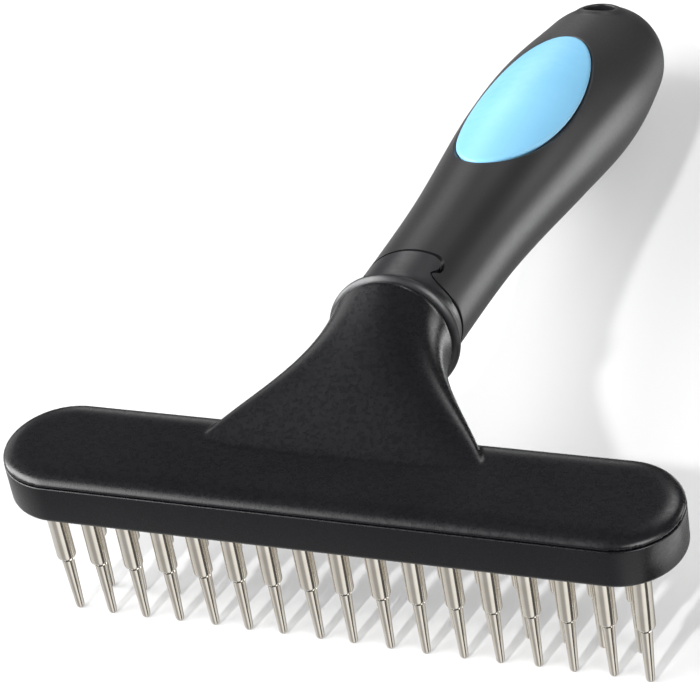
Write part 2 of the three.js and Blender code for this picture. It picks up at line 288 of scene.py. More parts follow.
def on_section(theta, s, wide, high):
    """The point at angle theta from the top of a section, as x, y, z."""
    y, z, ty, tz = centre(s)
    up = high * np.cos(theta)
    return np.stack([wide * np.sin(theta) + 0 * s, y - tz * up, z + ty * up], -1)


def grip_point(theta, s, depth=0.0, end=None):
    theta, s = np.asarray(theta, float), np.asarray(s, float)
    wide, high = handle_axes(s, depth, HANDLE_LENGTH if end is None else end)
    return on_section(theta, s, wide, high)


def collar_point(theta, s, depth=0.0):
    theta, s = np.asarray(theta, float), np.asarray(s, float)
    wide, high = collar_axes(s, depth)
    return on_section(theta, s, wide, high)


def on_handle(x, t, middle, direction=None, under=False):
    """(theta, s) on the handle's top, or its underside, for a point x across and t along a straight
    line that starts over the centreline at `middle` and runs in `direction` (y, z), by default the
    centreline's own."""
    x, t = np.asarray(x, float), np.asarray(t, float)
    y0, z0, ty0, tz0 = centre(middle)
    if direction is not None:
        ty0, tz0 = direction
    s = middle + t
    rounds = 8 if under else 6
    for _ in range(rounds):
        wide, high = handle_axes(s, 0, HANDLE_LENGTH)
        theta = np.arcsin(np.clip(x / wide, -1, 1))
        if under:
            theta = math.pi - theta
        point = on_section(theta, s, wide, high)
        s = s - ((point[..., 1] - y0) * ty0 + (point[..., 2] - z0) * tz0 - t)
    return theta, s


def on_oval(grow, share=1.0):
    """(theta, s) of the inlay's outline, grown and then scaled by `share`."""
    turn = whole_turn(240)
    x = (OVAL_HALF_WIDTH + grow) * share * np.cos(turn)
    t = (OVAL_HALF_LENGTH + grow) * share * np.sin(turn)
    return on_handle(x, t, OVAL_MIDDLE)


# ---- outlines in the flat, and the patches that they cut from a surface ----


def even_spacing(points, step, closed=False):
    """The same line with points about `step` apart."""
    p = np.asarray(points, float)
    if closed:
        p = np.vstack([p, p[:1]])
    length = np.concatenate([[0], np.cumsum(np.linalg.norm(np.diff(p, axis=0), axis=1))])
    count = max(3, int(round(length[-1] / step)))
    at = np.linspace(0, length[-1], count + 1)
    made = np.stack([np.interp(at, length, p[:, k]) for k in range(2)], 1)
    return made[:-1] if closed else made


def normals_of(points, closed):
    """Unit normals, to the left of the way the line runs."""
    p = np.asarray(points, float)
    if closed:
        along = np.roll(p, -1, 0) - np.roll(p, 1, 0)
    else:
        along = np.gradient(p, axis=0)
    along = along / np.linalg.norm(along, axis=1)[:, None]
    return np.stack([-along[:, 1], along[:, 0]], 1)


def bezier(*points, count=12):
    """A Bezier curve of degree 2 or 3 without its first point."""
    t = np.linspace(0, 1, count + 1)[1:, None]
    p = [np.array(q, float) for q in points]
    while len(p) > 1:
        p = [a * (1 - t) + b * t for a, b in zip(p, p[1:])]
    return p[0]


def inside(points, outline):
    """Which points lie inside a closed outline."""
    x, y = points[:, 0][:, None], points[:, 1][:, None]
    a, b = outline, np.roll(outline, -1, 0)
    crosses = (a[:, 1] > y) != (b[:, 1] > y)
    with np.errstate(divide="ignore", invalid="ignore"):
        at = a[:, 0] + (y - a[:, 1]) * (b[:, 0] - a[:, 0]) / (b[:, 1] - a[:, 1])
    return (np.sum(crosses & (x < at), 1) % 2) == 1


def patch(surface, outer, holes, fill, clear=0.3):
    """Triangulates, in the flat, the area inside `outer` and outside `holes`. Each is (flat points,
    numbers in the surface). `fill` is (flat points, numbers) to use inside where there is room."""
    loops = [outer] + holes
    flat = np.vstack([loop[0] for loop in loops])
    numbers = [n for loop in loops for n in loop[1]]
    edges = []
    start = 0
    for points, _ in loops:
        count = len(points)
        edges += [(start + i, start + (i + 1) % count) for i in range(count)]
        start += count
    fill_flat, fill_make = fill
    keep = inside(fill_flat, outer[0])
    for points, _ in holes:
        keep &= ~inside(fill_flat, points)
    far = np.min(np.linalg.norm(fill_flat[:, None] - flat[None], axis=2), axis=1)
    keep &= far > clear
    used = fill_flat[keep]
    numbers += surface.add(fill_make(used))
    every = np.vstack([flat, used])
    made = delaunay_2d_cdt([Vector(p) for p in every], edges, [], 0, 1e-7, True)
    triangles = np.array(made[2])
    source = [ids[0] for ids in made[3]]
    corners = np.array([made[0][i][:] for i in range(len(made[0]))])
    middle = corners[triangles].mean(1)
    good = inside(middle, outer[0])
    for points, _ in holes:
        good &= ~inside(middle, points)
    for a, b, c in triangles[good]:
        surface.faces.append((numbers[source[a]], numbers[source[b]], numbers[source[c]]))


def tongue_path(grow, corner=0.0):
    """The line between collar and grip over the top, as (x, distance), from +x to -x: the collar's back
    edge, the tongue's waist, its head and back again. It stands `grow` off the collar's own line, more
    along the handle because that gap is wider, and `corner` swells the head's corners."""
    root, end = COLLAR_LENGTH + 1.5 * grow, TONGUE_END + 2 * grow
    heel, chin, cheek = COLLAR_LENGTH + 2.6, COLLAR_LENGTH + 4 - grow, COLLAR_LENGTH + 5.6 - grow

    def half(wider):
        foot = 9 + grow + wider / 10
        waist, head = TONGUE_WAIST + grow + wider, TONGUE_HEAD + grow + corner + wider
        return np.vstack(
            [
                [[foot, root]],
                bezier((foot, root), (waist + 1, root + 0.3), (waist, heel)),
                bezier((waist, heel), (waist, chin), (head, chin), (head, cheek)),
                bezier((head, cheek), (head, end + corner / 2), (head - 2.6 - corner, end)),
            ]
        )

    return np.vstack([half(0), half(TONGUE_WIDER)[::-1] * [-1, 1]])


TOP_RADIUS = 11.5  # turns an angle near the collar into millimetres in the flat
WINDOW_SIDES = 144
WINDOW_STEP = 2 * math.pi / WINDOW_SIDES
ANGLES = np.arange(WINDOW_SIDES) * WINDOW_STEP  # from the top, over the +x side, round
OVER = int(round(math.radians(62.5) / WINDOW_STEP))  # half the window over the top, in columns
WINDOW = OVER * WINDOW_STEP  # and as an angle


def front_line(grow, corner):
    """The whole line between collar and grip in the flat (angle x TOP_RADIUS, distance), and how many
    of its points lie in the window over the top. It runs from the window's +x side over the top to the
    -x side, and on round underneath."""
    across = tongue_path(grow, corner)
    wide = half_width(across[:, 1])
    over = np.stack([np.arcsin(across[:, 0] / wide) * TOP_RADIUS, across[:, 1]], 1)
    edge = WINDOW * TOP_RADIUS
    root = COLLAR_LENGTH + 1.5 * grow
    over = np.vstack([[[edge, root]], over, [[-edge, root]]])
    over = even_spacing(over, 0.24)
    under = np.arange(-WINDOW - WINDOW_STEP, WINDOW - 2 * math.pi + WINDOW_STEP / 2, -WINDOW_STEP)
    return over, np.stack([under * TOP_RADIUS, np.full(len(under), root)], 1)


def edge_rings(surface, line, toward, point_of, radius, depth, first):
    """Rounds the edge of a patch over into a wall. `line` is the wall in the flat and `toward` the unit
    way from it into the patch; `first` holds the numbers of the patch's own edge, `radius` in from the
    wall. Returns the last ring."""
    ring = first
    for turn in (0.25, 0.5, 0.75, 1.0):
        a = turn * math.pi / 2
        flat = line + toward * (radius * (1 - math.sin(a)))
        below = surface.add(point_of(flat, radius * (1 - math.cos(a))))
        surface.bridge(ring, below)
        ring = below
    for level in (radius + (depth - radius) * 0.3, depth):
        below = surface.add(point_of(line, level))
        surface.bridge(ring, below)
        ring = below
    return ring


def front_edge(surface, section_point, ring, grow, corner, side, edge, depth, apex_at):
    """Closes a surface along the line between collar and grip: rounded over by `edge`, then down a wall
    to `depth` and in to the centreline at `apex_at`. `ring` is the plain ring that it meets underneath,
    and `side` is 1 for the grip, -1 for the collar. Returns the new points over the top, in the flat
    and by number, and the function that takes flat points to the surface."""
    over, under = front_line(grow, corner)
    line = np.vstack([over, under])
    toward = normals_of(line, True)
    toward = toward * side * np.sign(toward[0, 1])
    toward[:3] = (0, side)
    toward[len(over) - 3 :] = (0, side)

    def point_of(flat, depth=0.0):
        return section_point(flat[:, 0] / TOP_RADIUS, flat[:, 1], depth)

    start = (line + toward * edge)[1 : len(over) - 1]
    made = surface.add(point_of(start))
    columns = [(-OVER - i) % WINDOW_SIDES for i in range(len(under) + 1)]
    first = [ring[OVER]] + made + [ring[c] for c in columns]
    wall = edge_rings(surface, line, toward, point_of, edge, depth, first)
    surface.fan(wall, axis_point(apex_at))
    return start, made, point_of


# ---- the grip ----


def skin(surface, rings, skipped):
    """The plain faces between rings, but for the (row, column) ones in `skipped`."""
    for row in range(len(rings) - 1):
        a, b = rings[row], rings[row + 1]
        for column in range(WINDOW_SIDES):
            if (row, column) not in skipped:
                other = (column + 1) % WINDOW_SIDES
                surface.faces.append((a[column], a[other], b[other], b[column]))


def window_grid(rows, low, high, first, last, scale):
    """The grid points inside a window, in the flat."""
    return np.array(
        [
            (column * WINDOW_STEP * scale, rows[row])
            for row in range(low + 1, high)
            for column in range(first + 1, last)
        ]
    )


def grid_path(rows, rings, places, scale):
    """Grid points by (column, row), in the flat and by number."""
    flat = [(column * WINDOW_STEP * scale, rows[row]) for column, row in places]
    return flat, [rings[row][column % WINDOW_SIDES] for column, row in places]


def window_outline(rows, rings, low, high, first, last, scale):
    """The grid points round a window, in the flat and by number."""
    places = [(column, low) for column in range(first, last)]
    places += [(last, row) for row in range(low, high)]
    places += [(column, high) for column in range(last, first, -1)]
    places += [(first, row) for row in range(high, low, -1)]
    flat, names = grid_path(rows, rings, places, scale)
    return np.array(flat), names


def soft_grip():
    """The grip's whole skin, with its pocket and the hanging hole, less the core's hollow."""
    surface = Surface()
    body = np.arange(19.0, 139.5, 0.86)
    near_end = np.linspace(140, 158, 28)
    tail = HANDLE_LENGTH - 6.4 * (1 - np.sin(np.linspace(0, math.pi / 2, 22)[1:-1]))
    early = np.linspace(COLLAR_LENGTH + 1.5 * GRIP_GAP + GRIP_EDGE, 18.3, 13)
    rows = np.concatenate([early, body, near_end, tail])

    rings = [surface.add(grip_point(ANGLES, np.full(WINDOW_SIDES, s))) for s in rows]
    skipped = set()

    def skip(first_row, last_row, first, last):
        for row in range(first_row, last_row):
            for column in range(first, last):
                skipped.add((row, column % WINDOW_SIDES))

    def row_of(s):
        return int(np.argmin(np.abs(rows - s)))

    # the notch for the tongue
    last_row = row_of(19.0)
    skip(0, last_row, -OVER, OVER)
    start, made, point_of = front_edge(
        surface, grip_point, rings[0], GRIP_GAP, NOTCH_CORNER, 1, GRIP_EDGE, GRIP_THICKNESS + 0.8, 12.0
    )

    places = [(OVER, row) for row in range(last_row + 1)]
    places += [(column, last_row) for column in range(OVER - 1, -OVER - 1, -1)]
    places += [(-OVER, row) for row in range(last_row - 1, -1, -1)]
    flat, names = grid_path(rows, rings, places, TOP_RADIUS)
    flat = np.vstack([flat, start[::-1]])
    names += made[::-1]
    grid = window_grid(rows, 0, last_row, -OVER, OVER, TOP_RADIUS)
    patch(surface, (flat, names), [], (grid, point_of), 0.4)

    # the pocket for the inlay, and the hanging hole's two mouths
    windows = [
        ("pocket", row_of(50), row_of(126), -OVER, OVER, 14.5),
        ("hole", row_of(138.6), row_of(155.5), -24, 24, 14.0),
        ("under", row_of(142.5), row_of(160.0), WINDOW_SIDES // 2 - 24, WINDOW_SIDES // 2 + 24, 14.0),
    ]
    mouths = {}
    for kind, low, high, first_column, last_column, scale in windows:
        skip(low, high, first_column, last_column)
        outer = window_outline(rows, rings, low, high, first_column, last_column, scale)
        grid = window_grid(rows, low, high, first_column, last_column, scale)

        def flat_point(p, depth=0.0, k=scale):
            return grip_point(p[:, 0] / k, p[:, 1], depth)

        if kind == "pocket":

            def oval(grow):
                theta, s = on_oval(grow)
                return np.stack([theta * scale, s], 1)

            edge_flat = oval(GAP + 0.3)
            ring = surface.add(flat_point(edge_flat))
            patch(surface, outer, [(edge_flat, ring)], (grid, flat_point), 0.4)
            for grow, depth in ((0.57, 0.08), (0.42, 0.2), (0.3, 0.4), (0.3, POCKET_DEPTH)):
                below = surface.add(flat_point(oval(grow + GAP - 0.3), depth))
                surface.bridge(ring, below)
                ring = below
            for share in (0.85, 0.65, 0.45, 0.25, 0.1):
                below = surface.add(grip_point(*on_oval(GAP, share), POCKET_DEPTH))
                surface.bridge(ring, below)
                ring = below
            surface.fan(ring, grip_point([0.0], [OVAL_MIDDLE], POCKET_DEPTH))
            continue

        turn = whole_turn(64)
        under = kind == "under"
        ring = None
        for radius, rise in HOLE_PROFILE:
            x, t = radius * np.cos(turn), radius * np.sin(turn)
            theta, s = on_handle(x, t, HANG_HOLE_AT, (1.0, 0.0), under)
            points = grip_point(theta, s)
            points[:, 2] += -rise if under else rise
            below = surface.add(points)
            if ring is None:
                edge_flat = np.stack([theta * scale, s], 1)
                patch(surface, outer, [(edge_flat, below)], (grid, flat_point), 0.45)
            else:
                surface.bridge(ring, below)
            ring = below
        mouths[kind] = ring

    surface.bridge(mouths["hole"], mouths["under"])

    # the rest of the outside
    skin(surface, rings, skipped)
    surface.fan(rings[-1], grip_point([0.0], [HANDLE_LENGTH]))
    piece = facing_out(build("soft_grip_skin", surface))

    boolean(piece, handle_core_shape("hollow_of_grip", GRIP_THICKNESS - GAP, 2.0, GAP, COLUMN_WALL))
    return piece


# (radius, rise over the plain surface) from the outside in, round each mouth of the hanging hole
HOLE_PROFILE = (
    (6.4, 0.0), (5.9, 0.03), (5.4, 0.16), (5.0, 0.3), (4.5, 0.4), (4.05, 0.4), (3.75, 0.25),
    (3.6, 0.0), (3.52, -0.5), (HANG_HOLE_RADIUS, -1.6), (HANG_HOLE_RADIUS, -3.0),
)


def handle_core_shape(name, inset, start, end_gap, column_wall):
    """A plain closed body that follows the handle `inset` inside it, with the hanging hole's column
    taken out of it."""
    surface = Surface()
    end = HANDLE_LENGTH - inset + end_gap - GAP
    turn = whole_turn(72)
    low = np.linspace(start, end - END_ROUNDING, 40)
    high = end - END_ROUNDING * (1 - np.sin(np.linspace(0, math.pi / 2, 14)[1:-1]))
    rings = []
    for s in np.concatenate([low, high]):
        wide, tall = handle_axes(s, inset, end)
        rings.append(surface.add(on_section(turn, np.full(72, s), wide, tall)))
    surface.bridge(*rings)
    surface.fan(rings[0], axis_point(start), turned=True)
    surface.fan(rings[-1], axis_point(end))
    piece = facing_out(build(name, surface))
    y, z, _, _ = centre(HANG_HOLE_AT)
    boolean(piece, upright("column", HANG_HOLE_RADIUS + column_wall, 0, y, z - 40, z + 40, 48))
    return piece


def upright(name, radius, x, y, low, high, sides):
    """An upright round body."""
    surface = Surface()
    rings = [surface.add(circle(radius, z, sides, x, y)) for z in (low, high)]
    surface.bridge(*rings)
    surface.flat_ends(rings)
    return build(name, surface)


# ---- the collar with its tongue, and the core inside the grip ----


def collar_and_core():
    """The collar with its tongue, the core joined to it, and the neck's socket taken out."""
    surface = Surface()
    rows = np.concatenate([np.linspace(COLLAR_BEVEL + 0.75, 6.4, 12), [COLLAR_LENGTH - COLLAR_EDGE]])
    mouth = NECK_TIP + GAP
    profile = [(mouth, 10.3), (mouth, 11.0), (mouth + 0.08, 11.7), (mouth + 0.25, 12.15)]
    profile += [(1.8, 12.5), (2.1, 12.78), (2.3, 12.9), (2.45, 12.94), (2.58, 12.93)]
    profile += [(2.7, 12.84), (2.78, 12.68), (2.84, 12.5)]
    rings = []
    for s, radius in profile:
        section = on_section(ANGLES, np.full(WINDOW_SIDES, s), radius, radius * LIP_FLATTEN)
        rings.append(surface.add(section))
    bevel_rows = len(rings)
    rings += [surface.add(collar_point(ANGLES, np.full(WINDOW_SIDES, s))) for s in rows]
    surface.fan(rings[0], axis_point(mouth), turned=True)

    start, made, point_of = front_edge(
        surface, collar_point, rings[-1], 0.0, 0.0, -1, COLLAR_EDGE, GRIP_THICKNESS + 0.6, 11.0
    )

    base = bevel_rows + 9  # the last whole ring under the window
    stations = [s for s, _ in profile] + list(rows)
    places = [(column, base) for column in range(-OVER, OVER + 1)]
    places += [(OVER, row) for row in range(base + 1, len(rings))]
    there, names = grid_path(stations, rings, places, TOP_RADIUS)
    places = [(-OVER, row) for row in range(len(rings) - 1, base, -1)]
    back, back_names = grid_path(stations, rings, places, TOP_RADIUS)
    flat = np.vstack([there, start, back])
    names += made + back_names
    across = np.arange(0.25 - WINDOW * TOP_RADIUS, WINDOW * TOP_RADIUS - 0.2, 0.45)
    grid = np.array([(a, s) for s in np.arange(6.2, TONGUE_END, 0.45) for a in across])
    patch(surface, (flat, names), [], (grid, point_of), 0.3)

    over_top = [column % WINDOW_SIDES for column in range(-OVER, OVER)]
    skin(surface, rings, {(row, c) for row in range(base, len(rings) - 1) for c in over_top})
    piece = facing_out(build("collar_tongue_and_core", surface))
    boolean(piece, handle_core_shape("core", GRIP_THICKNESS, 5.0, GAP, COLUMN_WALL + GAP), "UNION")
    socket = tube_along("socket", [(-2, SOCKET_RADIUS), (SOCKET_DEPTH, SOCKET_RADIUS)], 48)
    boolean(piece, socket)
    return piece


def tube_along(name, stations, sides):
    """A round closed body along the centreline, through (distance, radius) stations."""
    surface = Surface()
    turn = whole_turn(sides)
    rings = []
    for (s0, r0), (s1, r1) in zip(stations, stations[1:]):
        for share in np.linspace(0, 1, 9)[: 9 if (s1, r1) == stations[-1] else 8]:
            s, radius = s0 + (s1 - s0) * share, r0 + (r1 - r0) * share
            rings.append(surface.add(on_section(turn, np.full(sides, s), radius, radius)))
    surface.bridge(*rings)
    surface.fan(rings[0], axis_point(stations[0][0]), turned=True)
    surface.fan(rings[-1], axis_point(stations[-1][0]))
    return facing_out(build(name, surface))


# ---- the inlay ----


def oval_inlay():
    """A crowned oval with a rounded edge."""
    surface = Surface()

    def ring(grow, share, depth):
        return surface.add(grip_point(*on_oval(grow, share), depth))

    shares = (0.06, 0.15, 0.3, 0.45, 0.6, 0.72, 0.82, 0.9, 0.95, 0.98)
    rings = [ring(-INLAY_EDGE, share, -INLAY_CROWN) for share in shares]
    for a in np.linspace(0, math.pi / 2, 7):
        depth = 2 * INLAY_CROWN * (1 - math.cos(a)) - INLAY_CROWN
        rings.append(ring(-INLAY_EDGE * (1 - math.sin(a)), 1.0, depth))
    rings.append(ring(0, 1.0, INLAY_BASE))
    rings += [ring(-INLAY_EDGE, share, INLAY_BASE) for share in (0.8, 0.5, 0.2)]
    surface.bridge(*rings)
    surface.fan(rings[0], grip_point([0.0], [OVAL_MIDDLE], -INLAY_CROWN), turned=True)
    surface.fan(rings[-1], grip_point([0.0], [OVAL_MIDDLE], INLAY_BASE))
    return facing_out(build("oval_inlay_crowned", surface))


# ---- the bar ----


def bar_ring(inset, z):
    """A stadium-shaped ring, inset from the bar's outline."""
    radius = BAR_WIDTH / 2 - inset
    reach = (BAR_LENGTH - BAR_WIDTH) / 2
    turn = np.linspace(-math.pi / 2, math.pi / 2, 49)
    right = np.stack([reach + radius * np.cos(turn), radius * np.sin(turn)], 1)
    straight = np.linspace(reach, -reach, 42)[1:-1]
    back = np.stack([straight, np.full(40, radius)], 1)
    ring = np.vstack([right, back, -right, -back])
    return np.column_stack([ring, np.full(len(ring), z)])


def bar_body(name, profile):
    """A closed bar through rings of (inset, z), bottom first."""
    surface = Surface()
    rings = [surface.add(bar_ring(inset, z)) for inset, z in profile]
    surface.bridge(*rings)
    surface.flat_ends(rings)
    return build(name, surface)


def quarter(radius, height, steps, start_z, outward=True):
    """(inset, z) of a rounded edge: outward runs from a flat bottom out to the wall."""
    made = []
    for a in np.linspace(0, math.pi / 2, steps + 1):
        if outward:
            made.append((radius * (1 - math.sin(a)), start_z + height * (1 - math.cos(a))))
        else:
            made.append((radius * (1 - math.cos(a)), start_z + height * math.sin(a)))
    return made


def pin_places():
    """(node name, x, y) of each pin, from the CAD nodes' boxes, in the tool's millimetres."""
    places = []
    for node in sorted(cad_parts):
        if node.startswith("pin_front_") or node.startswith("pin_back_"):
            low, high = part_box(node)
            x, y = (low.x + high.x) / 2 / MM, (low.y + high.y) / 2 / MM
            places.append((node, x, y - ORIGIN_Y))
    return places


def pin_plate():
    seam = SEAM_Z - GAP / 2
    profile = quarter(1.2, 1.2, 6, BAR_BOTTOM_Z) + quarter(0.25, 0.25, 4, seam - 0.25, False)
    piece = bar_body("pin_tray", profile)
    boolean(piece, bar_body("tray", [(WALL, PLATE_FLOOR_TOP), (WALL, SEAM_Z + 5)]))
    for _, x, y in pin_places():
        surface = Surface()
        rings = []
        for radius, z in (
            (PIN_HOLE_RADIUS + 0.8, BAR_BOTTOM_Z - 0.5),
            (PIN_HOLE_RADIUS + 0.3, BAR_BOTTOM_Z),
            (PIN_HOLE_RADIUS + 0.09, BAR_BOTTOM_Z + 0.09),
            (PIN_HOLE_RADIUS, BAR_BOTTOM_Z + 0.3),
            (PIN_HOLE_RADIUS, SEAM_Z),
        ):
            rings.append(surface.add(circle(radius, z, 40, x, y)))
        surface.bridge(*rings)
        surface.flat_ends(rings)
        boolean(piece, build("hole", surface))
    return piece


def neck_section(along):
    """The flared neck's section a share `along` of the way from the bar to the collar."""
    y0, z0, ty, tz = centre(0)
    normal_y, normal_z = -tz, ty
    flare = (1 + math.cos(math.pi * along**0.85)) / 2
    top = BAR_TOP_Z - 0.5 + (z0 + NECK_END_RADIUS * normal_z - BAR_TOP_Z + 0.5) * along**1.1
    bottom = SEAM_Z + (z0 - NECK_END_RADIUS * normal_z - SEAM_Z) * along**1.6
    return {
        "y": NECK_START_Y + (y0 - NECK_START_Y) * along,
        "z": (top + bottom) / 2,
        "wide": NECK_END_RADIUS + (NECK_BASE_HALF_WIDTH - NECK_END_RADIUS) * flare,
        "tall": (top - bottom) / 2,
        "square": 2 + 1.4 * (1 - along) ** 1.5,
        "lean": normal_y / normal_z * along,
    }


def neck_body():
    surface = Surface()
    turn = whole_turn(NECK_SIDES)
    rings = []
    for along in np.linspace(0, 1, 61):
        k = neck_section(along)
        cos, sin = np.cos(turn), np.sin(turn)
        x = k["wide"] * np.sign(cos) * np.abs(cos) ** (2 / k["square"])
        up = k["tall"] * np.sign(sin) * np.abs(sin) ** (2 / k["square"])
        points = np.stack([x, k["y"] + up * k["lean"], k["z"] + up], 1)
        rings.append(surface.add(points))
    theta = math.pi / 2 - turn
    for s in (NECK_TIP / 2, NECK_TIP):
        end = on_section(theta, np.full(NECK_SIDES, s), NECK_END_RADIUS, NECK_END_RADIUS)
        rings.append(surface.add(end))
    surface.bridge(*rings)
    k = neck_section(0)
    surface.fan(rings[0], [[0, k["y"], k["z"]]], turned=True)
    surface.fan(rings[-1], axis_point(NECK_TIP))
    return facing_out(build("neck", surface))


def head_shell():
    low = SEAM_Z + GAP / 2
    profile = [(0.12, low), (0.0, low + 0.12)]
    profile += quarter(4.4, BAR_TOP_Z - low - 0.15, 10, low + 0.15, False)
    piece = bar_body("top_shell_and_neck", profile)
    neck = neck_body()
    slab = bar_body("slab", [(-0.6, 20), (-0.6, low)])
    boolean(neck, slab)
    boolean(piece, neck, "UNION")
    rim = bar_body("rim", [(WALL + GAP, low - 1.6), (WALL + GAP, low + 0.5)])
    boolean(rim, bar_body("rim_inside", [(WALL + GAP + 1.6, low - 5), (WALL + GAP + 1.6, low)]))
    boolean(piece, rim, "UNION")
    reach = SOCKET_DEPTH - 4
    radius = SOCKET_RADIUS - GAP
    spigot = tube_along("spigot", [(-3, radius), (reach, radius), (reach + 2.5, radius - 1.2)], 48)
    boolean(piece, spigot, "UNION")
    remesh = piece.modifiers.new("remesh", "REMESH")
    remesh.mode = "VOXEL"
    remesh.voxel_size = SHELL_VOXEL * MM
    smooth = piece.modifiers.new("smooth", "SMOOTH")
    smooth.factor = 0.5
    smooth.iterations = 4
    apply_modifiers(piece)
    true_neck_end(piece)
    return piece


def true_neck_end(piece):
    """Moves the remeshed points at the neck's end onto a flat face with an evenly rounded edge."""
    mesh = piece.data
    flat = np.empty(len(mesh.vertices) * 3)
    mesh.vertices.foreach_get("co", flat)
    points = flat.reshape(-1, 3) / MM - [0, ORIGIN_Y, 0]
    y0, z0, ty, tz = centre(NECK_TIP)
    along = (points[:, 1] - y0) * ty + (points[:, 2] - z0) * tz
    up = -(points[:, 1] - y0) * tz + (points[:, 2] - z0) * ty
    radius, angle = np.hypot(points[:, 0], up), np.arctan2(points[:, 0], up)

    # the neck's own radius round its edge, from the points just before the rounding starts
    band, depth, reach = 0.3, 1.4, 0.6
    before = (np.abs(along + NECK_ROUNDING) < band) & (radius > NECK_END_RADIUS - depth)
    sectors = 60
    sector = ((angle[before] + math.pi) / (2 * math.pi) * sectors).astype(int) % sectors
    mean = np.bincount(sector, radius[before], sectors) / np.bincount(sector, None, sectors)
    mean = (np.roll(mean, 1) + 2 * mean + np.roll(mean, -1)) / 4
    middles = (np.arange(sectors) + 0.5) / sectors * 2 * math.pi - math.pi
    corner = np.interp(angle, middles, mean, period=2 * math.pi) - NECK_ROUNDING

    chosen = (along > -NECK_ROUNDING) & (along < reach) & (radius > SOCKET_RADIUS + reach)
    along, radius, corner, up = along[chosen], radius[chosen], corner[chosen], up[chosen]
    past, out = along + NECK_ROUNDING, radius - corner
    share = NECK_ROUNDING / np.hypot(past, out)
    new_along = np.where(out > 0, past * share - NECK_ROUNDING, 0)
    new_radius = np.where(out > 0, corner + out * share, radius)
    new_up = up / radius * new_radius
    points[chosen, 0] *= new_radius / radius
    points[chosen, 1] = y0 + new_along * ty - new_up * tz
    points[chosen, 2] = z0 + new_along * tz + new_up * ty
    mesh.vertices.foreach_set("co", ((points + [0, ORIGIN_Y, 0]) * MM).ravel())
    mesh.update()


# ---- pins ----

PIN_PROFILE = [
    (0.0, 0.0), (0.22, 0.02), (0.42, 0.1), (0.6, 0.24), (0.73, 0.45), (TIP_RADIUS, 0.78),
    (0.83, 1.2), (0.95, 5.0), (1.07, 9.0), (NEEDLE_RADIUS - 0.04, 12.1),
    (NEEDLE_RADIUS - 0.06, 12.45), (NEEDLE_RADIUS - 0.2, 12.62),
    (NEEDLE_RADIUS - 0.22, SLEEVE_END_Z - 0.04), (NEEDLE_RADIUS - 0.18, SLEEVE_END_Z),
    (SLEEVE_RADIUS - 0.36, SLEEVE_END_Z), (SLEEVE_RADIUS - 0.22, SLEEVE_END_Z + 0.06),
    (SLEEVE_RADIUS - 0.1, SLEEVE_END_Z + 0.18), (SLEEVE_RADIUS - 0.03, SLEEVE_END_Z + 0.36),
    (SLEEVE_RADIUS, SLEEVE_END_Z + 0.6), (SLEEVE_RADIUS, 18.0), (SLEEVE_RADIUS, 23.0),
    (SLEEVE_RADIUS, PIN_HEAD_BOTTOM - 0.15), (SLEEVE_RADIUS + 0.1, PIN_HEAD_BOTTOM),
    (PIN_HEAD_RADIUS - 0.15, PIN_HEAD_BOTTOM), (PIN_HEAD_RADIUS, PIN_HEAD_BOTTOM + 0.15),
    (PIN_HEAD_RADIUS, PIN_TOP - 0.15), (PIN_HEAD_RADIUS - 0.15, PIN_TOP), (0.0, PIN_TOP),
]


def pin_mesh(material):
    """One turned pin about its own axis, in metres."""
    surface = Surface()
    rings = [surface.add(circle(radius, z, 48)) for radius, z in PIN_PROFILE[1:-1]]
    surface.bridge(*rings)
    surface.fan(rings[0], [[0, 0, 0]], turned=True)
    surface.fan(rings[-1], [[0, 0, PIN_TOP]])
    mesh = bpy.data.meshes.new("turned_pin")
    mesh.from_pydata((np.array(surface.points) * MM).tolist(), [], surface.faces)
    mesh.update()
    mesh.materials.append(material)
    mesh.shade_smooth()
    mesh.set_sharp_from_angle(angle=math.radians(50))
    return mesh


def place_pins(material):
    """Every pin on its own body, with a small random lean."""
    mesh = pin_mesh(material)
    random.seed(7)
    for node, x, y in pin_places():
        piece = new_object("turned_" + node, mesh)
        lean = Matrix.Rotation(math.radians(random.uniform(-PIN_LEAN, PIN_LEAN)), 4, "X")
        lean = lean @ Matrix.Rotation(math.radians(random.uniform(-PIN_LEAN, PIN_LEAN)), 4, "Y")
        spin = Matrix.Rotation(random.uniform(0, 2 * math.pi), 4, "Z")
        pivot = Vector((x * MM, (y + ORIGIN_Y) * MM, BAR_BOTTOM_Z * MM))
        down = Matrix.Translation((0, 0, -BAR_BOTTOM_Z * MM))
        piece.matrix_world = Matrix.Translation(pivot) @ lean @ down @ spin
        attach(piece, node)
        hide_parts(node)


# ---- materials ----


